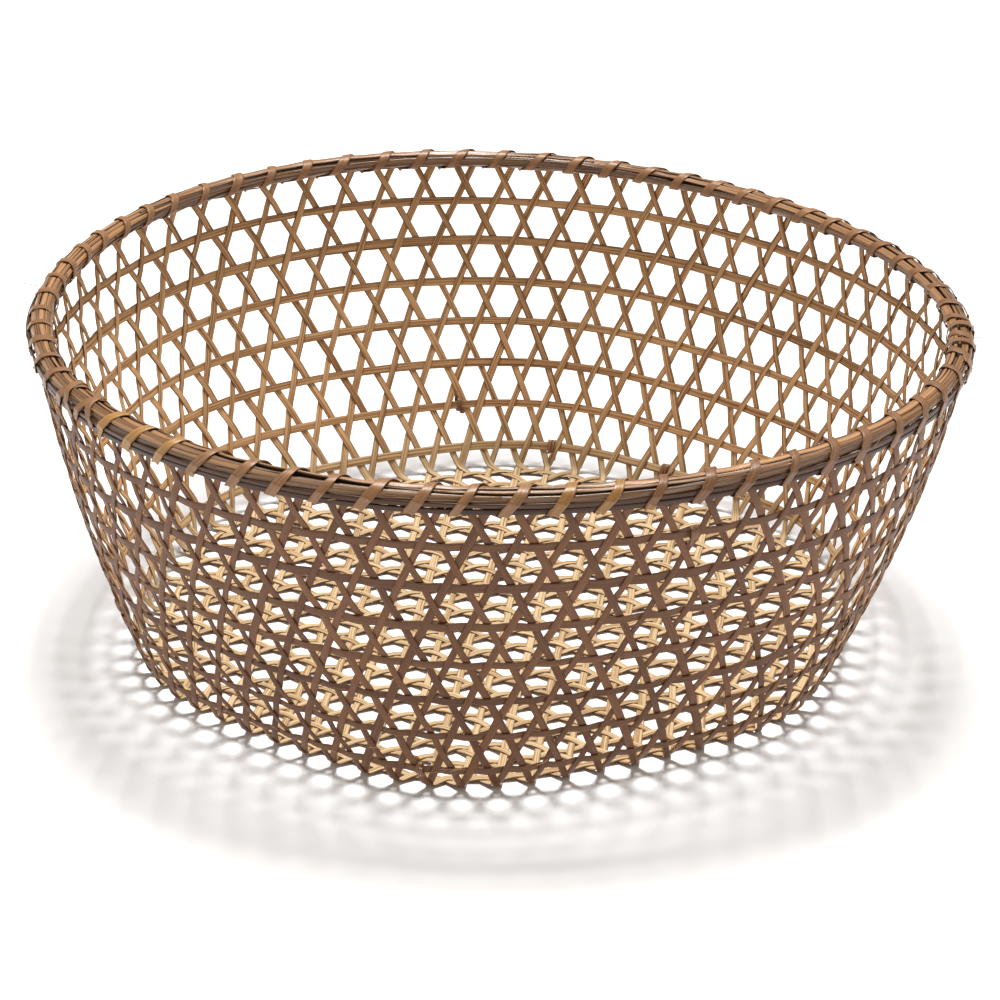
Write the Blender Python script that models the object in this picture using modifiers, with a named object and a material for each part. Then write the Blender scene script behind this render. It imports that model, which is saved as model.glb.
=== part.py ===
"""An open hexagonal-plait bamboo basket: six belts of long splints, ring weavers and a lashed rim.

Every splint runs from the rim down one wall, straight across the hexagonal base and up another wall
to the rim. A belt is the eleven splints that run side by side in one direction on one half of the
base. Three crossing directions give six belts, laid in three layers, and the ring weavers lie round
the outside of them. The rim is a bundle of thin strips inside the wall and a flat hoop outside it,
bound together by one spiral lashing that passes through the weave.

A place on the basket is (u, v). u counts splint spacings round the basket, 11 to a side. v counts
rows of weave, from 0 at the fold between base and wall.
"""

import math

import bmesh
import bpy
from mathutils import Vector

# Driving dimensions, in metres and degrees.
SIDES = 6
SPLINTS_PER_BELT = 11
BASE_SIDE = 0.1640
BASE_TURN = math.radians(23.0)
ROW_RISE = 0.0186  # height of one row of wall weave
RIM_ROW = 7.6
RIM_RADIUS = 0.1945
RIM_OVAL = 0.0055
RIM_OVAL_AXIS = math.radians(-44.0)
RIM_TRILOBE = 0.0032
RIM_TRILOBE_AXIS = math.radians(-15.0)
RIM_TILT = 0.0027  # the rim stands this much higher at its front than at its middle
WALL_BELLY = 0.50
BASE_ROUNDING = 0.36  # 0 leaves a true hexagon, 1 makes a circle
CORNER_REACH = 2.4  # each corner is rounded over this many spacings either way
FOLD_REACH = 0.3  # the fold between base and wall takes this many rows either way
PLAN_SHIFT = Vector((-0.0027, -0.0027, 0.0))  # puts the middle of the outline over the origin

SPLINT_WIDTH = 0.0033
SPLINT_THICKNESS = 0.00065
LAYER_PITCH = 0.00115
TIP_ROW = 7.75
BELLY_ROWS = [5.2, 3.4, 1.9]  # where a splint bends to follow the belly of the wall
WALL_LAYER_ROW = 0.7  # from here up, a splint lies in its layer of the wall
JOINING_BAR_WIDTH = 0.0016

RING_ROWS = [0.5, 1.5, 2.5, 3.5, 4.5, 5.5, 6.5]
RING_WIDTH = 0.0040
RING_THICKNESS = 0.00065
RING_OFFSET = 0.00255
RING_SEGMENTS = 48

HOOP_WIDTH = 0.0050
HOOP_THICKNESS = 0.0012
HOOP_OFFSET = 0.0029
HOOP_DROP = 0.0024

BUNDLE_COLUMNS = 2
BUNDLE_ROWS = 3
BUNDLE_STRIP_WIDTH = 0.0024
BUNDLE_STRIP_THICKNESS = 0.0026
BUNDLE_GAP = 0.0003
BUNDLE_OFFSET = 0.0029  # centre of the first strip, inward from the middle of the wall

LASHING_WIDTH = 0.0042
LASHING_THICKNESS = 0.0005
LASHING_OUT = 0.0042
LASHING_IN = 0.0080
LASHING_TOP = 0.0046
LASHING_BOTTOM = 0.0057

SPACING = BASE_SIDE / SPLINTS_PER_BELT
BASE_ROW = SPACING * math.sqrt(3) / 2
APOTHEM = SPLINTS_PER_BELT * BASE_ROW
AROUND = SIDES * SPLINTS_PER_BELT
OUTLINE_RADIUS = BASE_SIDE * 0.955  # the circle that the base outline is rounded towards
FLOOR_TO_MIDDLE = LAYER_PITCH + SPLINT_THICKNESS / 2
FRAME_STEP = 0.02  # spacings and rows over which the slope of the weave is taken
SECTION_STEP = 0.05
COLLECTION = "hexagonal_weave_basket"

SPLINT_COLOUR = (0.36, 0.23, 0.12)
RING_COLOUR = (0.27, 0.17, 0.10)
HOOP_COLOUR = (0.20, 0.12, 0.07)
BUNDLE_COLOUR = (0.24, 0.14, 0.08)
LASHING_COLOUR = (0.33, 0.20, 0.11)
WEAVE_ROUGHNESS = 0.5
RIM_ROUGHNESS = 0.4


def clear_scene():
    for old in list(bpy.data.objects):
        bpy.data.objects.remove(old, do_unlink=True)


def principled(name, colour, roughness):
    material = bpy.data.materials.new(name)
    material.use_nodes = True
    shader = material.node_tree.nodes["Principled BSDF"]
    shader.inputs["Base Color"].default_value = (*colour, 1.0)
    shader.inputs["Roughness"].default_value = roughness
    shader.inputs["Metallic"].default_value = 0.0
    return material


def add_object(name, mesh_data, collection, colour, roughness):
    mesh = bpy.data.meshes.new(name)
    mesh_data.to_mesh(mesh)
    mesh_data.free()
    made = bpy.data.objects.new(name, mesh)
    made.data.materials.append(principled(name + "_bamboo", colour, roughness))
    collection.objects.link(made)
    return made


def thicken(made, thickness):
    solidify = made.modifiers.new("thickness", "SOLIDIFY")
    solidify.thickness = thickness
    solidify.offset = 0.0


def around_angle(u):
    return BASE_TURN + 2 * math.pi * u / AROUND


def polar(radius, angle):
    return Vector((radius * math.cos(angle), radius * math.sin(angle), 0.0))


def hexagon_point(u):
    """A point on the true hexagon, u spacings round from its first corner."""
    side, along = divmod(u, SPLINTS_PER_BELT)
    start = polar(BASE_SIDE, BASE_TURN + side * math.pi / 3)
    end = polar(BASE_SIDE, BASE_TURN + (side + 1) * math.pi / 3)
    return start.lerp(end, along / SPLINTS_PER_BELT)


def fold_outline(u):
    """The base outline: the hexagon with rounded corners and bowed sides."""
    steps = [step / 4 for step in range(-4, 5)]
    rounded = sum((hexagon_point(u + step * CORNER_REACH) for step in steps), Vector()) / len(steps)
    circle = polar(OUTLINE_RADIUS, around_angle(u))
    return rounded.lerp(circle, BASE_ROUNDING)


def rim_outline(u):
    angle = around_angle(u)
    radius = RIM_RADIUS
    radius += RIM_OVAL * math.cos(2 * (angle - RIM_OVAL_AXIS))
    radius += RIM_TRILOBE * math.cos(3 * (angle - RIM_TRILOBE_AXIS))
    return polar(radius, angle)


def wall_point(u, v):
    """The middle of the wall at u, v rows above the fold."""
    share = v / RIM_ROW
    point = fold_outline(u).lerp(rim_outline(u), share + WALL_BELLY * share * (1 - share))
    point.z = v * ROW_RISE - share * RIM_TILT * math.sin(around_angle(u))
    return point


def base_point(place):
    """A place on the true hexagon's plane, moved so that the hexagon's edge meets the fold outline."""
    nearest, share = 0, 0.0
    for side in range(SIDES):
        reach = place.dot(polar(1.0, BASE_TURN + (side + 0.5) * math.pi / 3)) / APOTHEM
        if reach > share:
            nearest, share = side, reach
    if share < 1e-6:
        return place.copy()
    edge = place / share
    normal = BASE_TURN + (nearest + 0.5) * math.pi / 3
    along = edge.dot(polar(1.0, normal + math.pi / 2)) / SPACING
    u = nearest * SPLINTS_PER_BELT + SPLINTS_PER_BELT / 2 + along
    return place + (fold_outline(u) - edge) * share**3


def surface_point(side, u, v):
    """The middle of the weave near one side: base plane, rounded fold, then wall."""
    if v >= FOLD_REACH:
        return wall_point(u, v)
    rise = max(v + FOLD_REACH, 0.0) ** 2 / (4 * FOLD_REACH)
    normal = BASE_TURN + (side + 0.5) * math.pi / 3
    along = u - (side + 0.5) * SPLINTS_PER_BELT
    place = polar(APOTHEM + (v - rise) * BASE_ROW, normal) + polar(along * SPACING, normal + math.pi / 2)
    return base_point(place) + wall_point(u, rise) - wall_point(u, 0.0)


def surface_frame(side, u, v):
    """The point, the way round, the way up and the outward normal at a place on the weave."""
    point = surface_point(side, u, v)
    around = surface_point(side, u + FRAME_STEP, v) - surface_point(side, u - FRAME_STEP, v)
    up = surface_point(side, u, v + FRAME_STEP) - surface_point(side, u, v - FRAME_STEP)
    outward = around.cross(up).normalized()
    return point, around.normalized(), up.normalized(), outward


def placed(point):
    """Centres the basket on the origin and rests its lowest layer on the floor."""
    return point + PLAN_SHIFT + Vector((0.0, 0.0, FLOOR_TO_MIDDLE))


def splint_place(turn, offset, row):
    """Where splint number offset of a belt is at one row: its side, u and v.

    A belt climbs the side of its own number leaning one way, and the side two further on leaning
    the other way.
    """
    end, v = row
    if end == "forward":
        return turn, turn * SPLINTS_PER_BELT + offset - v / 2, v
    return turn + 2, (turn + 3) * SPLINTS_PER_BELT - offset + v / 2, v


def layer(turn, row):
    """The layer a belt lies in, counted inward. The walls have two layers and the base has three."""
    end, v = row
    if v < WALL_LAYER_ROW:
        return 1 - turn % 3
    return 0 if end == "forward" else -1


def belt_rows():
    climb = [TIP_ROW, *BELLY_ROWS, WALL_LAYER_ROW, FOLD_REACH, -FOLD_REACH]
    return [("forward", v) for v in climb] + [("backward", v) for v in reversed(climb)]


def splint_section(turn, offset, row):
    """Both edges of one splint at one row, cut level with the fold so that its creases lie true."""
    side, u, v = splint_place(turn, offset, row)
    higher = splint_place(turn, offset, (row[0], v + SECTION_STEP))
    along = surface_point(*higher) - surface_point(side, u, v)
    around = surface_point(side, u + SECTION_STEP, v) - surface_point(side, u, v)
    slant = math.sin(along.angle(around))
    half = SPLINT_WIDTH / 2 / slant / around.length * SECTION_STEP
    edges = []
    for reach in (-half, half) if row[0] == "forward" else (half, -half):
        point, _, _, outward = surface_frame(side, u + reach, v)
        edges.append(placed(point - outward * layer(turn, row) * LAYER_PITCH))
    return edges


def belt_mesh(turn):
    """Eleven splints side by side, held together by one thin bar across the middle of the base."""
    rows = belt_rows()
    sections = [
        [splint_section(turn, number + 0.5, row) for number in range(SPLINTS_PER_BELT)]
        for row in rows
    ]
    half = len(rows) // 2
    share = (0.5 - JOINING_BAR_WIDTH / (2 * BASE_SIDE), 0.5 + JOINING_BAR_WIDTH / (2 * BASE_SIDE))
    before, after = sections[half - 1], sections[half]
    bar = [
        [tuple(a.lerp(b, part) for a, b in zip(*pair)) for pair in zip(before, after)]
        for part in share
    ]
    sections[half:half] = bar
    columns = 2 * SPLINTS_PER_BELT - 1
    mesh = bmesh.new()
    bmesh.ops.create_grid(mesh, x_segments=columns, y_segments=len(sections) - 1, size=1.0)
    gaps = []
    for face in mesh.faces:
        centre = face.calc_center_median()
        column = int((centre.x + 1) / 2 * columns)
        row = int((centre.y + 1) / 2 * (len(sections) - 1))
        if column % 2 and row != half:
            gaps.append(face)
    bmesh.ops.delete(mesh, geom=gaps, context="FACES")
    for vertex in mesh.verts:
        column = round((vertex.co.x + 1) / 2 * columns)
        row = round((vertex.co.y + 1) / 2 * (len(sections) - 1))
        vertex.co = sections[row][column // 2][column % 2]
    return mesh


def hoop_mesh(row, width, outward_offset, drop, segments=RING_SEGMENTS):
    """A flat strip that runs all the way round at one row, moved outward and down on the wall."""
    mesh = bmesh.new()
    bmesh.ops.create_cone(mesh, cap_ends=False, segments=segments, radius1=1, radius2=1, depth=1)
    for vertex in mesh.verts:
        u = (math.atan2(vertex.co.y, vertex.co.x) / (2 * math.pi)) % 1.0 * AROUND
        side = int(u // SPLINTS_PER_BELT) % SIDES
        point, _, up, outward = surface_frame(side, u, row)
        height = math.copysign(width / 2, vertex.co.z) - drop
        vertex.co = placed(point + outward * outward_offset + up * height)
    return mesh


def lashing_mesh():
    """One flat strip wound round the bundle and the outer hoop, a turn to each opening of the weave."""
    corners = [
        (0.05, LASHING_OUT, -LASHING_BOTTOM),
        (0.45, LASHING_OUT, LASHING_TOP),
        (0.55, -LASHING_IN, LASHING_TOP),
        (0.95, -LASHING_IN, -LASHING_BOTTOM),
    ]
    path = [(turn + 0.5 + share, out, up) for turn in range(AROUND) for share, out, up in corners]
    mesh = bmesh.new()
    bmesh.ops.create_grid(mesh, x_segments=1, y_segments=len(path) - 1, size=1.0)
    for vertex in mesh.verts:
        u, out, high = path[round((vertex.co.y + 1) / 2 * (len(path) - 1))]
        point, around, up, outward = surface_frame(0, u, RIM_ROW)
        across = around * math.copysign(LASHING_WIDTH / 2, vertex.co.x)
        vertex.co = placed(point + outward * out + up * high + across)
    return mesh


def add_belts(collection):
    for turn in range(SIDES):
        name = f"splint_belt_{turn + 1}"
        belt = add_object(name, belt_mesh(turn), collection, SPLINT_COLOUR, WEAVE_ROUGHNESS)
        thicken(belt, SPLINT_THICKNESS)


def add_rings(collection):
    for number, row in enumerate(RING_ROWS, start=1):
        mesh = hoop_mesh(row, RING_WIDTH, RING_OFFSET, 0.0)
        ring = add_object(f"ring_weaver_{number}", mesh, collection, RING_COLOUR, WEAVE_ROUGHNESS)
        thicken(ring, RING_THICKNESS)


def add_rim(collection):
    mesh = hoop_mesh(RIM_ROW, HOOP_WIDTH, HOOP_OFFSET, HOOP_DROP)
    hoop = add_object("rim_outer_hoop", mesh, collection, HOOP_COLOUR, RIM_ROUGHNESS)
    thicken(hoop, HOOP_THICKNESS)
    for column in range(BUNDLE_COLUMNS):
        inward = BUNDLE_OFFSET + column * (BUNDLE_STRIP_THICKNESS + BUNDLE_GAP)
        for row in range(BUNDLE_ROWS):
            drop = (row - (BUNDLE_ROWS - 1) / 2) * (BUNDLE_STRIP_WIDTH + BUNDLE_GAP)
            mesh = hoop_mesh(RIM_ROW, BUNDLE_STRIP_WIDTH, -inward, drop)
            name = f"rim_strip_{column * BUNDLE_ROWS + row + 1}"
            strip = add_object(name, mesh, collection, BUNDLE_COLOUR, RIM_ROUGHNESS)
            thicken(strip, BUNDLE_STRIP_THICKNESS)
    lashing = add_object("rim_lashing", lashing_mesh(), collection, LASHING_COLOUR, RIM_ROUGHNESS)
    thicken(lashing, LASHING_THICKNESS)


def build():
    clear_scene()
    collection = bpy.data.collections.new(COLLECTION)
    bpy.context.scene.collection.children.link(collection)
    add_belts(collection)
    add_rings(collection)
    add_rim(collection)


build()
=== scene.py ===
# %% [markdown]
# # An open hexagonal-plait bamboo basket
#
# The basket is made of long flat splints of split bamboo. Each splint starts at the rim, comes down
# one wall, crosses the six-sided base in a straight line and goes up another wall to the rim. The
# splints run in three directions and pass over and under each other, so that they leave hexagonal
# holes. Ring weavers lock the walls, and the rim is a bundle of thin strips bound by a spiral lashing.
#
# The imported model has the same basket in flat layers. This lesson plaits it properly: every splint,
# ring and strip is built along its own path, with the over-and-under wave in the mesh itself.

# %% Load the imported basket
import math

import bpy
import numpy as np
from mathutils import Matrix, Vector


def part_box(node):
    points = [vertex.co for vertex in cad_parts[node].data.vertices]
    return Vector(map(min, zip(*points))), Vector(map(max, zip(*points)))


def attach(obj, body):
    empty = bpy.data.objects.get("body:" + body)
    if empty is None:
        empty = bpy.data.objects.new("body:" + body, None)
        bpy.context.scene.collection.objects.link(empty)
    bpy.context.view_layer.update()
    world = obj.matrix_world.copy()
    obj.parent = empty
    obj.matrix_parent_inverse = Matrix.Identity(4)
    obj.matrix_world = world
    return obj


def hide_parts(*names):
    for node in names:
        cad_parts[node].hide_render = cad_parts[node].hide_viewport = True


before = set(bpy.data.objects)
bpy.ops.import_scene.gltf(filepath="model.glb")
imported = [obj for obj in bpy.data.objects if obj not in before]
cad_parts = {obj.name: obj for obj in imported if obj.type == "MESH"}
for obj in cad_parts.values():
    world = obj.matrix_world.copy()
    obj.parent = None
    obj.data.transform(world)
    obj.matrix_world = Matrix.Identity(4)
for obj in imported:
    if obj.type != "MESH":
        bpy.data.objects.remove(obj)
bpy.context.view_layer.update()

# %% [markdown]
# ## One surface for the whole weave
#
# A maker thinks of a place on this basket as a count: so many splints round, so many rows up. The
# surface below turns such a count (u, v) into a point. v is 0 at the fold between base and wall. Below
# 0 it runs in across the flat base, and above 0 it climbs the wall, which bellies out towards a rim
# that is slightly oval. All the splints and rings then share the one surface and meet where they cross.

# %% Counts and sizes of the weave
SIDES = 6
SPLINTS = 11  # splints that start from each side of the base
AROUND = SIDES * SPLINTS
BASE_SIDE = 0.1640  # metres, like every length below
BASE_TURN = math.radians(23.0)
BASE_ROUNDING = 0.36  # 0 leaves a true hexagon, 1 makes a circle
CORNER_REACH = 2.4  # splints each way over which a corner of the base is averaged
CORNER_SAMPLES = 9
FOLD_REACH = 0.16  # rows on each side of the fold that the bend takes up
ROW_RISE = 0.0186  # height of one row of hexagons
RIM_ROW = 7.6
RIM_RADIUS = 0.1945
RIM_OVAL, RIM_OVAL_AXIS = 0.0055, math.radians(-44.0)
RIM_TRILOBE, RIM_TRILOBE_AXIS = 0.0032, math.radians(-15.0)
RIM_TILT = 0.0027
WALL_BELLY = 0.50  # 0 makes a straight wall
CENTRE_EASE = 3  # power by which the easing of the base fades towards its middle
TINY = 1e-6  # keeps the middle of the base from dividing by zero
SPACING = BASE_SIDE / SPLINTS
BASE_ROW = SPACING * math.sqrt(3) / 2
APOTHEM = SPLINTS * BASE_ROW
OUTLINE_RADIUS = BASE_SIDE * 0.955  # between the hexagon's corners and the middles of its sides
MIDDLE = np.array([-0.0027, -0.0027, 0.001475])  # the middle of the weave's base plane
print("splint spacing on the base, mm:", round(SPACING * 1000, 2))


# %% Base outline and rim outline
def polar(radius, angle):
    return np.stack(np.broadcast_arrays(radius * np.cos(angle), radius * np.sin(angle), 0.0), axis=-1)


def unit(vectors):
    return vectors / np.linalg.norm(vectors, axis=-1, keepdims=True)


def hexagon_point(u):
    side, along = np.divmod(u, SPLINTS)
    start = polar(BASE_SIDE, BASE_TURN + side * math.pi / 3)
    end = polar(BASE_SIDE, BASE_TURN + (side + 1) * math.pi / 3)
    return start + (end - start) * (along / SPLINTS)[:, None]


def around_angle(u):
    return BASE_TURN + 2 * math.pi * u / AROUND


def fold_outline(u):
    steps = np.linspace(-1.0, 1.0, CORNER_SAMPLES)
    rounded = sum(hexagon_point(u + step * CORNER_REACH) for step in steps) / len(steps)
    circle = polar(OUTLINE_RADIUS, around_angle(u))
    return rounded + (circle - rounded) * BASE_ROUNDING


def rim_outline(u):
    angle = around_angle(u)
    oval = RIM_OVAL * np.cos(2 * (angle - RIM_OVAL_AXIS))
    trilobe = RIM_TRILOBE * np.cos(3 * (angle - RIM_TRILOBE_AXIS))
    return polar(RIM_RADIUS + oval + trilobe, angle)


# %% Wall, base and the rounded fold between them
def wall_point(u, v):
    share = v / RIM_ROW
    climb = (share + WALL_BELLY * share * (1 - share))[:, None]
    point = fold_outline(u) * (1 - climb) + rim_outline(u) * climb
    point[:, 2] = v * ROW_RISE - share * RIM_TILT * np.sin(around_angle(u))
    return point


def base_point(place):
    """A place in the true hexagon, eased so that the hexagon's edge meets the fold outline."""
    normals = polar(1.0, BASE_TURN + (np.arange(SIDES) + 0.5) * math.pi / 3)
    reach = place @ normals.T / APOTHEM
    nearest = reach.argmax(axis=1)
    share = np.maximum(reach.max(axis=1), TINY)
    edge = place / share[:, None]
    tangent = polar(1.0, BASE_TURN + (nearest + 0.5) * math.pi / 3 + math.pi / 2)
    u = (nearest + 0.5) * SPLINTS + (edge * tangent).sum(axis=1) / SPACING
    return place + (fold_outline(u) - edge) * (share**CENTRE_EASE)[:, None]


def weave_point(side, u, v):
    rise = np.maximum(v + FOLD_REACH, 0.0) ** 2 / (4 * FOLD_REACH)
    normal = BASE_TURN + (side + 0.5) * math.pi / 3
    along = (u - (side + 0.5) * SPLINTS) * SPACING
    place = polar(APOTHEM + (v - rise) * BASE_ROW, normal) + polar(along, normal + math.pi / 2)
    folded = base_point(place) + wall_point(u, rise) - wall_point(u, np.zeros_like(u))
    on_wall = (v >= FOLD_REACH)[:, None]
    return np.where(on_wall, wall_point(u, np.maximum(v, 0.0)), folded) + MIDDLE


def weave_frame(side, u, v):
    """Points of the weave, with the way round, the way up and the outward normal at each."""
    step = 0.02
    around = weave_point(side, u + step, v) - weave_point(side, u - step, v)
    up = weave_point(side, u, v + step) - weave_point(side, u, v - step)
    return weave_point(side, u, v), unit(around), unit(up), unit(np.cross(around, up))


def wall_frame(u, row):
    """The same for places on the wall, where the side of the base follows from the way round."""
    return weave_frame((u // SPLINTS) % SIDES, u, np.full_like(u, row))


probe = weave_point(np.zeros(4), np.arange(4) * AROUND / 4, np.full(4, 3.5))
ring_low, ring_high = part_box("ring_weaver_4")
print("ring 4, height of the surface against the packed ring, mm:",
      round((probe[:, 2].mean() - (ring_low.z + ring_high.z) / 2) * 1000, 2))

# %% [markdown]
# ## A strip of bamboo
#
# Every piece here is the same kind of thing: a long strip with a flat, slightly crowned face and
# softened edges. One function sweeps that section along a list of stations. It also lays down what the
# finishes need: a map called "strip" that holds metres along the strip and -1 to 1 across it, a value
# "skin" that tells the outer face of the bamboo from the inner, and a "tone" that differs from strip to
# strip. A second map spreads each strip out flat, so that no two strips overlap in it.

# %% Sweep strips into one mesh
SECTION = np.array([
    (-1.0, -0.30), (-0.84, -1.0), (-0.42, -1.0), (0.0, -1.0), (0.42, -1.0), (0.84, -1.0),
    (1.0, -0.30), (1.0, 0.30), (0.84, 0.88), (0.42, 1.0), (0.0, 1.04), (-0.42, 1.0),
    (-0.84, 0.88), (-1.0, 0.30),
])
SECTION_SKIN = np.array([0, 0, 0, 0, 0, 0, 0.5, 1, 1, 1, 1, 1, 1, 0.5])
EXPORT_MAP = "OFBake"
SECTION_SPREAD = (3.0, 1.0)  # the export map gives width this much more room than thickness
FOLDS = 8  # a lone strip is laid out in this many rows of its export map
ROW_MARGIN, END_MARGIN = 0.06, 0.002  # empty shares at the sides and ends of those rows
CUT_END_CORNER, CUT_END_VALUE = 0.001, 0.3  # cut ends: their place in both maps, and their skin and tone


def strip(centre, outward, half_width, half_thickness, tone=0.5, twist=0.0):
    """Stations of one strip. The flat face looks along outward, turned by twist about the strip's run."""
    along = np.gradient(centre, axis=0)
    across = unit(np.cross(outward, along))
    face = unit(np.cross(along, across))
    turned = face * np.cos(twist)[..., None] + across * np.sin(twist)[..., None]
    count = len(centre)
    return {
        "centre": centre,
        "across": unit(np.cross(turned, along)),
        "face": turned,
        "width": np.broadcast_to(half_width, count),
        "thickness": np.broadcast_to(half_thickness, count),
        "tone": np.broadcast_to(tone, count),
    }


def swept_points(made):
    """The section set across one strip's run at every station."""
    sideways = (SECTION[:, 0] * made["width"][:, None])[..., None]
    depth = (SECTION[:, 1] * made["thickness"][:, None])[..., None]
    body = made["centre"][:, None] + made["across"][:, None] * sideways
    body = body + made["face"][:, None] * depth
    return body.reshape(-1, 3)


def swept_quads(start, station, corner):
    ring = len(SECTION)
    following = (corner + 1) % ring
    first = start + station * ring
    near = [first + corner, first + following]
    far = [first + ring + following, first + ring + corner]
    return np.stack(near + far, axis=1)


def grain_map(made, station, corner):
    """Metres along the strip and -1 to 1 across it, at each quad's four corners."""
    steps = np.linalg.norm(np.diff(made["centre"], axis=0), axis=1)
    length = np.concatenate([[0.0], np.cumsum(steps)])
    near, far = length[station], length[station + 1]
    side, next_side = SECTION[corner, 0], SECTION[(corner + 1) % len(SECTION), 0]
    return np.stack([near, side, near, next_side, far, next_side, far, side], axis=1)


def flat_map(station, corner, last, number, total):
    """Each strip unrolled into rows of its own, so that nothing overlaps."""
    edge = np.linalg.norm((np.roll(SECTION, -1, axis=0) - SECTION) * SECTION_SPREAD, axis=1)
    perimeter = np.concatenate([[0.0], np.cumsum(edge) / edge.sum()])
    folds = FOLDS if total == 1 else 1
    row = station * folds // last
    low = station * folds / last - row
    high = (station + 1) * folds / last - row
    first = number * folds + row + ROW_MARGIN
    bottom = (first + (1 - 2 * ROW_MARGIN) * perimeter[corner]) / (total * folds)
    top = (first + (1 - 2 * ROW_MARGIN) * perimeter[corner + 1]) / (total * folds)
    low = END_MARGIN + (1 - 2 * END_MARGIN) * low
    high = END_MARGIN + (1 - 2 * END_MARGIN) * np.minimum(high, 1.0)
    return np.stack([low, bottom, low, top, high, top, high, bottom], axis=1)


def strip_mesh(name, strips):
    ring = len(SECTION)
    points, quads, caps = [], [], []
    grain, flat, skin, tone = [], [], [], []
    start = 0
    for number, made in enumerate(strips):
        last = len(made["centre"]) - 1
        station, corner = np.meshgrid(np.arange(last), np.arange(ring), indexing="ij")
        station, corner = station.ravel(), corner.ravel()
        points.append(swept_points(made))
        quads.append(swept_quads(start, station, corner))
        caps.append((start + np.arange(ring)[::-1], start + last * ring + np.arange(ring)))
        grain.append(grain_map(made, station, corner))
        flat.append(flat_map(station, corner, last, number, len(strips)))
        skin.append(SECTION_SKIN[corner])
        tone.append(made["tone"][station])
        start += len(made["centre"]) * ring
    maps = {"strip": grain, EXPORT_MAP: flat}
    return assemble(name, points, quads, caps, maps, {"skin": skin, "tone": tone})


def assemble(name, points, quads, caps, maps, values):
    """Blender's mesh from the swept arrays: the quads of the strips first, then their cut ends."""
    quads = np.concatenate(quads)
    ends = [cap.tolist() for pair in caps for cap in pair]
    mesh = bpy.data.meshes.new(name)
    mesh.from_pydata(np.concatenate(points).tolist(), [], quads.tolist() + ends)
    end_corners = np.full(2 * sum(len(cap) for cap in ends), CUT_END_CORNER)
    for label, corners in maps.items():
        layer = mesh.uv_layers.new(name=label)
        laid = np.concatenate([np.concatenate(corners).ravel(), end_corners])
        layer.uv.foreach_set("vector", laid.astype(np.float32))
    for label, faces in values.items():
        attribute = mesh.attributes.new(label, "FLOAT", "FACE")
        laid = np.concatenate([np.concatenate(faces), np.full(len(ends), CUT_END_VALUE)])
        attribute.data.foreach_set("value", laid.astype(np.float32))
    mesh.polygons.foreach_set("use_smooth", np.arange(len(mesh.polygons)) < len(quads))
    mesh.update()
    return mesh


def add_piece(name, strips, material, slot, *nodes):
    """Makes one piece from its strips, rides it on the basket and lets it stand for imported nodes."""
    piece = bpy.data.objects.new(name, strip_mesh(name, strips))
    piece.data.materials.append(material)
    bpy.context.scene.collection.objects.link(piece)
    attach(piece, "root")
    if nodes:
        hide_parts(*nodes)
    return piece


# %% [markdown]
# ## Writing materials as sums
#
# A bamboo finish is a lot of small sums: fibre lines times a strength, darker towards the edges, one
# colour for the skin and another for the inside. Written as Python expressions they stay readable, so
# a small class wraps a node's socket and turns each operator into a Math node.


# %% A socket that can be added and multiplied
class Wire:
    def __init__(self, tree, socket=None):
        self.tree = tree
        self.socket = socket

    def node(self, kind, settings, inputs, output=0):
        made = self.tree.nodes.new(kind)
        for name, value in settings.items():
            setattr(made, name, value)
        for name, value in inputs.items():
            if isinstance(value, Wire):
                self.tree.links.new(value.socket, made.inputs[name])
            else:
                made.inputs[name].default_value = value
        return Wire(self.tree, made.outputs[output])

    def maths(self, operation, first, second):
        return self.node("ShaderNodeMath", {"operation": operation}, {0: first, 1: second})

    def __add__(self, other):
        return self.maths("ADD", self, other)

    def __radd__(self, other):
        return self.maths("ADD", other, self)

    def __sub__(self, other):
        return self.maths("SUBTRACT", self, other)

    def __rsub__(self, other):
        return self.maths("SUBTRACT", other, self)

    def __mul__(self, other):
        return self.maths("MULTIPLY", self, other)

    def __rmul__(self, other):
        return self.maths("MULTIPLY", other, self)

    def __pow__(self, other):
        return self.maths("POWER", self, other)

    def within(self, low, high):
        """0 below low, 1 above high, and an even climb between."""
        settings = {"clamp": True}
        inputs = {"Value": self, "From Min": low, "From Max": high}
        return self.node("ShaderNodeMapRange", settings, inputs)

    def tint(self, under, over):
        """under where this is 0 and over where it is 1. Both are colours."""
        settings = {"data_type": "RGBA"}
        return self.node("ShaderNodeMix", settings, {0: self, 6: under, 7: over}, output=2)


def srgb(red, green, blue):
    """A colour as it looks on a screen, from 0 to 255, as the linear colour that a node takes."""
    shares = (np.array([red, green, blue]) / 255 + 0.055) / 1.055
    return (*(shares**2.4), 1.0)


# %% [markdown]
# ## The finish of split bamboo
#
# A splint keeps the bamboo's skin on one face. On this basket the skin has gone a deep grey-brown
# with age and smoke, close and slightly glossy. The other face is the split inside of the cane: pale
# straw, dull, with open fibre lines that run the whole length. Every strip is painted darker towards its
# edges: partly dirt on the worn edges, partly painted shade in the dark splits between neighbouring
# strips.
# The fibre lines are a noise that is stretched many times along the strip.


# %% Bamboo material
PALE_BELOW, BROWN_ABOVE = 0.004, 0.030  # heights between which the inside goes from pale to browned
PALE_DARK, PALE_LIGHT = srgb(146, 110, 66), srgb(208, 182, 142)
FIBRE_STRENGTH, FIBRE_RELIEF = 0.7, 0.0003
SKIN_STREAKS, INSIDE_STREAKS, MOTTLE = (0.38, 0.62), (0.44, 0.53), (0.3, 0.7)  # noise from dark to light
TONE_SHIFT = 37.0  # moves the noise on from strip to strip, so that no two have the same fibres


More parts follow.
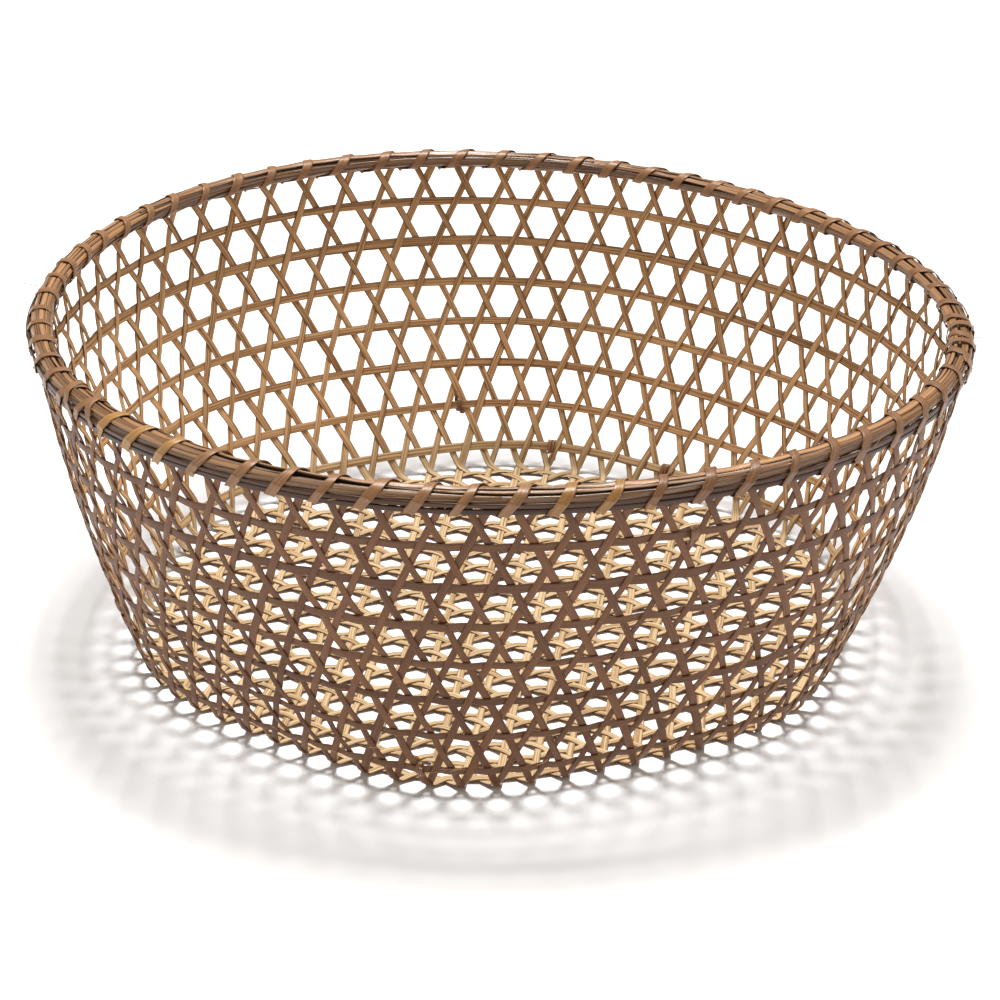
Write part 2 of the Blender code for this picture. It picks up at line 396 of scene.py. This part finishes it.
def bamboo(name, skin_dark, skin_light, inside_dark, inside_light, roughness, gloss):
    material = bpy.data.materials.new(name)
    material.use_nodes = True
    tree = material.node_tree
    shader = tree.nodes["Principled BSDF"]
    wire = Wire(tree)
    place = wire.node("ShaderNodeUVMap", {"uv_map": "strip"}, {})
    along = wire.node("ShaderNodeSeparateXYZ", {}, {"Vector": place}, output="X")
    across = wire.node("ShaderNodeSeparateXYZ", {}, {"Vector": place}, output="Y")
    skin = wire.node("ShaderNodeAttribute", {"attribute_name": "skin"}, {}, output="Fac")
    tone = wire.node("ShaderNodeAttribute", {"attribute_name": "tone"}, {}, output="Fac")
    position = wire.node("ShaderNodeTexCoord", {}, {}, output="Object")
    height = wire.node("ShaderNodeSeparateXYZ", {}, {"Vector": position}, output="Z")
    browned = height.within(PALE_BELOW, BROWN_ABOVE)

    def fibres(per_metre, over_width, detail, offset):
        where = wire.node("ShaderNodeCombineXYZ", {}, {
            "X": along * per_metre, "Y": across * over_width, "Z": tone * TONE_SHIFT + offset})
        return wire.node("ShaderNodeTexNoise", {}, {
            "Vector": where, "Scale": 1.0, "Detail": detail, "Roughness": 0.6})

    coarse = fibres(per_metre=6.0, over_width=2.3, detail=1.0, offset=0.0)
    fine = fibres(per_metre=30.0, over_width=7.0, detail=2.0, offset=11.0)
    mottle = fibres(per_metre=22.0, over_width=0.5, detail=2.0, offset=23.0)
    # painted shade and dirt: every strip darkens towards its edges, for worn edges and for the shade in
    # the gaps between strips
    edge_dirt_and_shade = (across * across) ** 4.0
    streaks = coarse * 0.6 + fine * 0.4
    skin_colour = (streaks.within(*SKIN_STREAKS) * 0.45 + tone * 0.55).tint(skin_dark, skin_light)
    grain = streaks.within(*INSIDE_STREAKS) * 0.8 + mottle.within(*MOTTLE) * 0.2
    pale = grain.tint(PALE_DARK, PALE_LIGHT)
    inside_colour = browned.tint(pale, (grain * 0.8 + tone * 0.2).tint(inside_dark, inside_light))
    faced = skin.tint(inside_colour, skin_colour)
    # the darkened edges take the skin's dark colour: dirt on worn edges and painted shade in the splits
    dirt_and_shade_colour = (edge_dirt_and_shade * 0.6).tint(faced, skin_dark)
    rough = roughness + (1 - skin) * 0.15 + (fine - 0.5) * 0.25
    relief = wire.node("ShaderNodeBump", {}, {
        "Height": streaks, "Strength": FIBRE_STRENGTH, "Distance": FIBRE_RELIEF})
    for label, value in (("Base Color", dirt_and_shade_colour), ("Roughness", rough), ("Normal", relief)):
        tree.links.new(value.socket, shader.inputs[label])
    shader.inputs["Specular IOR Level"].default_value = gloss
    return material


SPLINT_BAMBOO = bamboo("splint_bamboo", srgb(90, 57, 37), srgb(134, 92, 62),
                       srgb(118, 77, 44), srgb(224, 180, 130), roughness=0.48, gloss=0.30)
RING_BAMBOO = bamboo("ring_bamboo", srgb(84, 53, 35), srgb(124, 86, 58),
                     srgb(118, 77, 44), srgb(220, 176, 126), roughness=0.48, gloss=0.30)
HOOP_BAMBOO = bamboo("hoop_bamboo", srgb(36, 20, 11), srgb(100, 64, 38),
                     srgb(80, 52, 32), srgb(120, 86, 54), roughness=0.36, gloss=0.40)
STRAND_BAMBOO = bamboo("bundle_bamboo", srgb(42, 23, 12), srgb(198, 148, 102),
                       srgb(40, 24, 15), srgb(100, 68, 42), roughness=0.30, gloss=0.70)
LASHING_BAMBOO = bamboo("lashing_bamboo", srgb(98, 64, 42), srgb(168, 124, 84),
                        srgb(140, 104, 66), srgb(180, 140, 92), roughness=0.36, gloss=0.45)
HONEY_BAMBOO = bamboo("honey_bamboo", srgb(140, 98, 52), srgb(182, 138, 80),
                      srgb(160, 122, 72), srgb(196, 156, 98), roughness=0.34, gloss=0.45)
print("finishes:", len(bpy.data.materials))

# %% [markdown]
# ## Splints: over and under
#
# On the wall a splint that leans one way lies outside every splint that leans the other way and inside
# every ring. On the base the three directions pass over each other in turn. Both come out of a single
# wave along the splint, with one full wave to each row. Its crests are flattened a little, as a stiff
# splint lies flat against the one it crosses.

# %% The plait's wave
SPLINT_HALF_WIDTH = 0.00158
SPLINT_HALF_THICKNESS = 0.00030
RING_HALF_THICKNESS = 0.00030
WAVE = 0.00037
TIP_ROW = 7.55  # where a splint ends, inside the rim
STEADY_ROW = 6.8  # above this row the rim holds the splints and they no longer wander
STATIONS_PER_ROW = 8
chance = np.random.default_rng(11)


def wave(turns):
    swing = np.cos(2 * np.pi * turns)
    return WAVE * swing * (1.5 - 0.5 * swing * swing)


def drift(length, reach, spread):
    """A slow random wander of about the given size, for strips that no hand lays quite straight."""
    waves = chance.uniform(reach * 0.6, reach * 1.6, 3)
    phases = chance.uniform(0, 2 * np.pi, 3)
    return spread * sum(np.sin(2 * np.pi * length / w + p) for w, p in zip(waves, phases)) / 2


# %% One splint from rim to rim
def splint(turn, offset):
    across_base = 2 * SPLINTS - offset
    rows = across_base + 2 * TIP_ROW
    tau = TIP_ROW - np.linspace(0, rows, int(rows * STATIONS_PER_ROW))
    back = tau < -across_base / 2
    side = np.where(back, turn + 2, turn)
    v = np.where(back, -across_base - tau, tau)
    u = np.where(back, (turn + 3) * SPLINTS - offset + v / 2, turn * SPLINTS + offset - v / 2)
    free = np.clip(1 - np.maximum(v - STEADY_ROW, 0), 0.0, 1.0)
    u = u + drift(tau, reach=9.0, spread=0.022) * free
    point, _, _, outward = weave_frame(side, u, v)
    centre = point + outward * wave(tau)[:, None]
    width = SPLINT_HALF_WIDTH * chance.uniform(0.86, 1.14) * (1 + drift(tau, reach=6.0, spread=0.05))
    return strip(centre, outward, width, SPLINT_HALF_THICKNESS, tone=chance.uniform(0, 1),
                 twist=drift(tau, reach=3.0, spread=0.05))


for turn in range(SIDES):
    splints = [splint(turn, number + 0.5) for number in range(SPLINTS)]
    node = f"splint_belt_{turn + 1}"
    belt = add_piece(f"plaited_{node}", splints, SPLINT_BAMBOO, "splint_bamboo", node)
    print(belt.name, "faces:", len(belt.data.polygons))

# %% [markdown]
# ## Ring weavers
#
# A ring goes in front of the splints that lean one way and behind those that lean the other. Its ends
# overlap for the width of three fingers or so and are tucked in, so the strip is double there.

# %% Seven rings
RING_ROWS = [0.5, 1.5, 2.5, 3.5, 4.5, 5.5, 6.5]
RING_HALF_WIDTHS = [0.00195, 0.00180, 0.00190, 0.00185, 0.00190, 0.00215, 0.00185]
RING_STARTS = [9.3, 31.2, 50.4, 3.6, 41.7, 23.1, 60.2]
RING_OVERLAP = 2.6  # splints for which a ring lies double
RING_STEP, RING_LIFT = 0.8, 2.1  # splints over which the doubled end climbs, and half thicknesses climbed
STATIONS_PER_SPACING = 8


def ring_weaver(row, half_width, begin):
    length = AROUND + RING_OVERLAP
    u = begin + np.linspace(0, length, int(length * STATIONS_PER_SPACING))
    doubled = np.clip((u - begin - AROUND + RING_STEP / 2) / RING_STEP, 0, 1)
    wander = drift(u, reach=17.0, spread=0.022) * np.sin(np.pi * (u - begin) / length)
    point, _, _, outward = wall_frame(u, row + wander)
    lift = wave(u - (0.5 - row / 2)) + doubled * RING_LIFT * RING_HALF_THICKNESS
    width = half_width * (1 + drift(u, reach=8.0, spread=0.07))
    centre = point + outward * lift[:, None]
    return strip(centre, outward, width, RING_HALF_THICKNESS, tone=chance.uniform(0, 1))


rings = zip(RING_ROWS, RING_HALF_WIDTHS, RING_STARTS)
for number, (row, half_width, begin) in enumerate(rings, start=1):
    node = f"ring_weaver_{number}"
    ring = ring_weaver(row, half_width, begin)
    add_piece(f"plaited_{node}", [ring], RING_BAMBOO, "ring_bamboo", node)
print("rings:", len(RING_ROWS))

# %% [markdown]
# ## The rim bundle and the outer hoop
#
# The tips of the splints are caught between a flat hoop outside and a bundle of split strips inside.
# No outer strip goes all the way round: each one runs for a hand or two, tapers to a point and lets the
# next take over. They are uneven and shift against each other, so dark gaps open between them, and the
# lashing pinches them a little at each turn. Three plain strips in the middle close the gaps from behind.
# They take the darkest tone, as painted shade seen through the gaps.

# %% Bundle strands
BUNDLE_OUT, BUNDLE_UP = -0.0034, 0.0
BUNDLE_REACH_OUT, BUNDLE_REACH_UP = 0.0041, 0.0033
BUNDLE_CORNERS = 2.4  # 2 gives the bundle an oval section, and more makes it squarer
STRANDS = 62
STRAND_LENGTHS = (9.0, 17.0)  # shortest and longest, counted in splints
STRAND_HALF_WIDTHS = (0.00075, 0.00150)
STRAND_HALF_THICKNESS = 0.00055
STRAND_TAPER = 2.5  # splints over which an end narrows
RIM_STATIONS, CORE_STATIONS = 6, 3  # stations to each splint of the way round
PINCH = 0.04  # share by which a turn of lashing draws the strands in
DEEPEST, RAISED_END = 0.20, 0.10  # how far in a strand may lie, and how far out its ends spring
EVEN_SPREAD = 0.382  # the golden share, which keeps neighbouring strands apart round the section
FIRST_STRAND, LAST_STRAND = math.radians(-12), math.radians(266)
CORE_STRANDS = [(-0.0034, 0.0008), (-0.0050, -0.0008), (-0.0022, -0.0010)]
CORE_HALF_WIDTH, CORE_HALF_THICKNESS = 0.0019, 0.0011
CORE_OVERLAP = 0.1


def rim_stations(begin, length, per_spacing):
    u = begin + np.linspace(0, length, int(length * per_spacing))
    return (u, *wall_frame(u, RIM_ROW))


def squared_oval(angle, corners):
    """Points of an oval with squared shoulders, one unit across each way."""
    out, high = np.cos(angle), np.sin(angle)
    reach = (np.abs(out) ** corners + np.abs(high) ** corners) ** (-1 / corners)
    return out * reach, high * reach


def bundle_strand(number):
    length = chance.uniform(*STRAND_LENGTHS)
    begin = number * AROUND / STRANDS + chance.uniform(-0.5, 0.5)
    u, point, _, up, outward = rim_stations(begin, length, RIM_STATIONS)
    gone = (u - u[0]) / length
    end = np.clip(1 - np.minimum(gone, 1 - gone) * length / STRAND_TAPER, 0, 1)
    share = (number * EVEN_SPREAD + chance.uniform(-0.05, 0.05)) % 1
    angle = FIRST_STRAND + (LAST_STRAND - FIRST_STRAND) * share + (gone - 0.5) * chance.uniform(-0.5, 0.5)
    pinched = 1 - PINCH * np.cos(2 * np.pi * (u - 0.5))
    swell = pinched + drift(u, reach=7.0, spread=0.06) - chance.uniform(0, DEEPEST) + RAISED_END * end**2
    out, high = squared_oval(angle, BUNDLE_CORNERS)
    face = outward * (out / BUNDLE_REACH_OUT)[:, None] + up * (high / BUNDLE_REACH_UP)[:, None]
    out = BUNDLE_OUT + BUNDLE_REACH_OUT * out * swell
    high = BUNDLE_UP + BUNDLE_REACH_UP * high * swell
    centre = point + outward * out[:, None] + up * high[:, None]
    width = chance.uniform(*STRAND_HALF_WIDTHS) * (1 + drift(u, reach=6.0, spread=0.12)) * (1 - 0.8 * end)
    thickness = STRAND_HALF_THICKNESS * (1 - 0.5 * end)
    return strip(centre, unit(face), width, thickness, tone=chance.uniform(0, 1),
                 twist=drift(u, reach=4.0, spread=0.30))


def core_strand(out, high):
    _, point, _, up, outward = rim_stations(0.0, AROUND + CORE_OVERLAP, CORE_STATIONS)
    # tone 0 makes the core the darkest strands: painted shade, seen through the splits between the outer
    # strands
    return strip(point + outward * out + up * high, up, CORE_HALF_WIDTH, CORE_HALF_THICKNESS, tone=0.0)


outer_strands = [bundle_strand(number) for number in range(STRANDS)]
core = [core_strand(out, high) for out, high in CORE_STRANDS]
strand_nodes = [f"rim_strip_{number}" for number in range(1, 7)]
add_piece("rim_bundle_strands", outer_strands, STRAND_BAMBOO, "bundle_bamboo", *strand_nodes[:4])
add_piece("rim_bundle_core", core, STRAND_BAMBOO, "bundle_bamboo", *strand_nodes[4:])
print("bundle strands:", STRANDS + len(CORE_STRANDS))

# %% Outer hoop
HOOP_OUT, HOOP_DROP = 0.0017, 0.0024
HOOP_HALF_WIDTH, HOOP_HALF_THICKNESS = 0.00245, 0.00050
HOOP_START, HOOP_OVERLAP, HOOP_STEP = 25.0, 5.0, 3.0  # counted in splints
HOOP_SPLITS = [(-0.50, 0.50), (0.52, 0.46)]  # place and half width, as shares of the hoop's


def hoop_split(begin, place, half_width):
    """The hoop has split along its length, so it is two strips that still lie side by side."""
    u, point, _, up, outward = rim_stations(begin, AROUND + HOOP_OVERLAP, RIM_STATIONS)
    doubled = np.clip((u - begin - AROUND + HOOP_STEP / 2) / HOOP_STEP, 0, 1)
    out = HOOP_OUT + doubled * 2 * HOOP_HALF_THICKNESS + drift(u, reach=9.0, spread=0.00022)
    high = HOOP_HALF_WIDTH * place - HOOP_DROP + drift(u, reach=12.0, spread=0.00025)
    centre = point + outward * out[:, None] + up * high[:, None]
    width = HOOP_HALF_WIDTH * half_width * (1 + drift(u, reach=8.0, spread=0.12))
    return strip(centre, outward, width, HOOP_HALF_THICKNESS, tone=chance.uniform(0.2, 0.9),
                 twist=drift(u, reach=6.0, spread=0.20))


splits = [hoop_split(HOOP_START, place, half_width) for place, half_width in HOOP_SPLITS]
add_piece("rim_flat_hoop", splits, HOOP_BAMBOO, "hoop_bamboo", "rim_outer_hoop")

# %% [markdown]
# ## The lashing
#
# One flat strip goes up the outside of the rim, over the top, down the inside and out again through
# the next opening of the weave. Each turn leans the same way. The real lashing is several lengths of
# strip, and a few of its turns are of fresh, honey-coloured bamboo.

# %% The taut loop round the rim's section
LASHING_HALF_WIDTH, LASHING_HALF_THICKNESS = 0.0020, 0.00022
LASHING_CLEARANCE = 0.00035
LOOP_POINTS = 121
ON_TOP = 0.08  # share by which crossed turns lie further out than the others
SIDEWAYS_WEIGHT = 0.3  # the lashing moves on along the rim mostly while it climbs or drops


def taut_loop():
    """Points of a strip pulled tight round the bundle and the hoop, with the way it faces at each.

    The last column says how far round its turn the strip has gone at each point, from 0 to 1.
    """
    around = np.linspace(0, 2 * math.pi, LOOP_POINTS)
    oval = np.stack(squared_oval(around, BUNDLE_CORNERS), axis=1)
    reach = (BUNDLE_REACH_OUT + STRAND_HALF_THICKNESS, BUNDLE_REACH_UP + STRAND_HALF_THICKNESS)
    bundle = oval * reach + (BUNDLE_OUT, BUNDLE_UP)
    hoop_face = HOOP_OUT + HOOP_HALF_THICKNESS
    hoop = [(hoop_face, -HOOP_DROP - HOOP_HALF_WIDTH), (hoop_face, -HOOP_DROP + HOOP_HALF_WIDTH)]
    points = np.concatenate([bundle, hoop])
    turned = around - math.pi / 2
    facing = np.stack([np.cos(turned), np.sin(turned)], axis=1)
    held = points[(facing @ points.T).argmax(axis=1)] + facing * LASHING_CLEARANCE
    steps = np.abs(np.diff(held, axis=0)) @ (SIDEWAYS_WEIGHT, 1.0)
    share = np.concatenate([[0.0], np.cumsum(steps)]) / steps.sum()
    return np.column_stack([held, facing, share])


LOOP = taut_loop()
print("lashing goes round a section, mm:", np.round(np.ptp(LOOP[:, :2], axis=0) * 1000, 1))

# %% Wind the lashing
STATIONS_PER_TURN = 44


def lashing(begin, end, tone, crossing=1.0):
    """Turns of lashing. With crossing at -1 they lie on top of the others and lean the other way."""
    turns = np.linspace(begin, end, int((end - begin) * STATIONS_PER_TURN))
    middle = (begin + end) / 2
    u = middle + crossing * (turns - middle) + 0.5 + drift(turns, reach=2.6, spread=0.05)
    point, _, up, outward = wall_frame(u, RIM_ROW)
    gone = turns % 1
    out, high, facing_out, facing_up = (np.interp(gone, LOOP[:, 4], column) for column in LOOP.T[:4])
    face = unit(outward * facing_out[:, None] + up * facing_up[:, None])
    slack = 1 + ON_TOP * (1 - crossing) / 2 + drift(turns, reach=3.1, spread=0.02)
    centre = point + outward * (out * slack)[:, None] + up * (high * slack)[:, None]
    width = LASHING_HALF_WIDTH * (1 + drift(turns, reach=2.2, spread=0.12))
    return strip(centre, face, width, LASHING_HALF_THICKNESS, tone=tone,
                 twist=drift(turns, reach=1.3, spread=0.06))


TUCK = 0.1  # turns for which one length runs on past the start of the next
HONEY_TURNS = [(35.0, 38.0), (46.0, 48.0)]
CROSSED_TURNS = [(33.1, 34.8), (58.1, 60.4)]  # where a length ends and is bound back over itself
lengths, begin = [], 0.0
for start, end in HONEY_TURNS + [(AROUND, AROUND)]:
    lengths.append(lashing(begin, start + TUCK, chance.uniform(0.2, 0.8)))
    begin = end
honey = [lashing(start, end + TUCK, chance.uniform(0.3, 0.9)) for start, end in HONEY_TURNS]
for start, end in CROSSED_TURNS:
    lengths.append(lashing(start, end, chance.uniform(0.4, 0.9), crossing=-1.0))
add_piece("rim_lashing_strip", lengths, LASHING_BAMBOO, "lashing_bamboo", "rim_lashing")
add_piece("rim_lashing_fresh_turns", honey, HONEY_BAMBOO, "lashing_bamboo")
print("turns of lashing:", AROUND)

# %% [markdown]
# ## Small repairs and stray fibres
#
# Where a splint has slipped or a ring has been joined, the maker has tied a scrap of strip round the
# crossing. Fine fibres also lift off the edges of old bamboo, most of all at the foot of the wall,
# where the basket has been dragged.


# %% Ties at a few crossings
TIES = [(13.5, 1.5), (6.5, 0.5), (10.5, 0.5), (43.5, 0.5), (55.5, 2.5), (49.5, 6.5)]
TIE_REACH_OUT, TIE_REACH_UP = 0.0017, 0.0030
TIE_HALF_WIDTH, TIE_HALF_THICKNESS = 0.0011, 0.0002
TIE_TURNS, TIE_TIGHT_TURNS = 0.9, 0.6  # from its middle, where a tie ends and where it springs loose
TIE_STATIONS = 60


def tie(u, row):
    turns = np.linspace(-TIE_TURNS, TIE_TURNS, TIE_STATIONS)
    loose = np.clip(np.abs(turns) - TIE_TIGHT_TURNS, 0, 1)
    angle = 2 * np.pi * turns + chance.uniform(0, 2 * np.pi)
    u = u + 0.09 * turns + chance.uniform(-0.2, 0.2)
    point, _, up, outward = wall_frame(u, row)
    out, high = np.cos(angle) * (1 + 2.0 * loose), np.sin(angle) * (1 + 4.0 * loose)
    face = unit(outward * np.cos(angle)[:, None] + up * np.sin(angle)[:, None])
    centre = point + outward * (TIE_REACH_OUT * out)[:, None] + up * (TIE_REACH_UP * high)[:, None]
    width = TIE_HALF_WIDTH * (1 - 1.5 * loose)
    return strip(centre, face, width, TIE_HALF_THICKNESS, tone=chance.uniform(0, 0.6))


add_piece("crossing_ties", [tie(u, row) for u, row in TIES], LASHING_BAMBOO, "lashing_bamboo")
print("ties:", len(TIES))

# %% Stray fibres
FIBRES = 26  # every other one is at the worn foot of the front wall, and the rest are on the rim
FRONT_FOOT, FOOT_ROWS = (38, 54), (0.1, 1.2)
FIBRE_LENGTHS = (0.004, 0.013)
FIBRE_HALF_WIDTH, FIBRE_HALF_THICKNESS = 0.00013, 0.00008
FIBRE_ROOT = 0.0022  # how far out of the weave's middle a fibre starts
FIBRE_STATIONS = 14
FLOOR_CLEARANCE = 0.0004


def stray_fibre(number):
    worn_foot = number % 2
    place = chance.uniform(*FRONT_FOOT) if worn_foot else chance.uniform(0, AROUND)
    row = chance.uniform(*FOOT_ROWS) if worn_foot else RIM_ROW + chance.uniform(-0.15, 0.2)
    point, around, up, outward = wall_frame(np.full(FIBRE_STATIONS, place), row)
    gone = np.linspace(0, 1, FIBRE_STATIONS)
    length = chance.uniform(*FIBRE_LENGTHS)
    lean, curl = chance.uniform(-1, 1), chance.uniform(-0.8, 0.8)
    run = outward * (0.5 * gone)[:, None] + around * (lean * gone + curl * gone**2)[:, None]
    run = run + up * (chance.uniform(-0.2, 0.6) * gone)[:, None]
    centre = point + outward * FIBRE_ROOT + run * length
    centre[:, 2] = np.maximum(centre[:, 2], FLOOR_CLEARANCE)
    return strip(centre, outward, FIBRE_HALF_WIDTH, FIBRE_HALF_THICKNESS, tone=0.7)


fibres = [stray_fibre(number) for number in range(FIBRES)]
add_piece("stray_fibres", fibres, HONEY_BAMBOO, "lashing_bamboo")
print("stray fibres:", FIBRES)

# %% [markdown]
# ## Floor, light and camera
#
# The basket stands on a white sweep under broad, soft light that comes from above and a little
# behind, so the open weave throws a soft lattice of shadow forward and to both sides.


# %% White floor
FLOOR_SIZE = 14.0
PALE_GREY = (0.93, 0.93, 0.93, 1.0)


def white_floor():
    bpy.ops.mesh.primitive_plane_add(size=FLOOR_SIZE, location=(0.0, 0.0, 0.0))
    floor = bpy.context.object
    floor.name = "white_floor"
    material = bpy.data.materials.new("white_floor")
    material.use_nodes = True
    shader = material.node_tree.nodes["Principled BSDF"]
    shader.inputs["Base Color"].default_value = PALE_GREY
    shader.inputs["Roughness"].default_value = 0.9
    shader.inputs["Specular IOR Level"].default_value = 0.1
    floor.data.materials.append(material)


white_floor()
print("floor, metres:", FLOOR_SIZE)


# %% Soft lights and a warm studio
WORLD_COLOUR, WORLD_STRENGTH = (1.0, 0.91, 0.81, 1.0), 0.27


def soft_light(name, place, size, watts):
    data = bpy.data.lights.new(name, "AREA")
    data.shape = "RECTANGLE"
    data.size, data.size_y = size
    data.energy = watts
    light = bpy.data.objects.new(name, data)
    light.location = place
    light.rotation_euler = (-Vector(place)).to_track_quat("-Z", "Y").to_euler()
    bpy.context.scene.collection.objects.link(light)


soft_light("overhead_softbox", place=(0.0, 0.80, 3.5), size=(1.1, 1.1), watts=185.0)
soft_light("left_card", place=(-1.5, -0.2, 0.7), size=(0.8, 0.8), watts=3.0)
soft_light("right_card", place=(1.5, -0.2, 0.7), size=(0.8, 0.8), watts=3.0)

world = bpy.data.worlds.new("studio")
world.use_nodes = True
background = world.node_tree.nodes["Background"]
background.inputs["Color"].default_value = WORLD_COLOUR
background.inputs["Strength"].default_value = WORLD_STRENGTH
bpy.context.scene.world = world
bpy.context.scene.view_settings.view_transform = "Standard"
print("lights:", len(bpy.data.lights))

# %% Camera
AIM = Vector((0.0004, -0.0020, 0.0557))
DISTANCE = 1.683
ELEVATION = math.radians(25.15)
LENS, SENSOR_WIDTH = 140.8, 36.0  # millimetres
camera_data = bpy.data.cameras.new("camera")
camera_data.sensor_width = SENSOR_WIDTH
camera_data.lens = LENS
camera = bpy.data.objects.new("camera", camera_data)
backward = Vector((0.0, -math.cos(ELEVATION), math.sin(ELEVATION)))
camera.location = AIM + backward * DISTANCE
camera.rotation_euler = (-backward).to_track_quat("-Z", "Y").to_euler()
bpy.context.scene.collection.objects.link(camera)
bpy.context.scene.camera = camera
print("camera at", [round(value, 3) for value in camera.location])
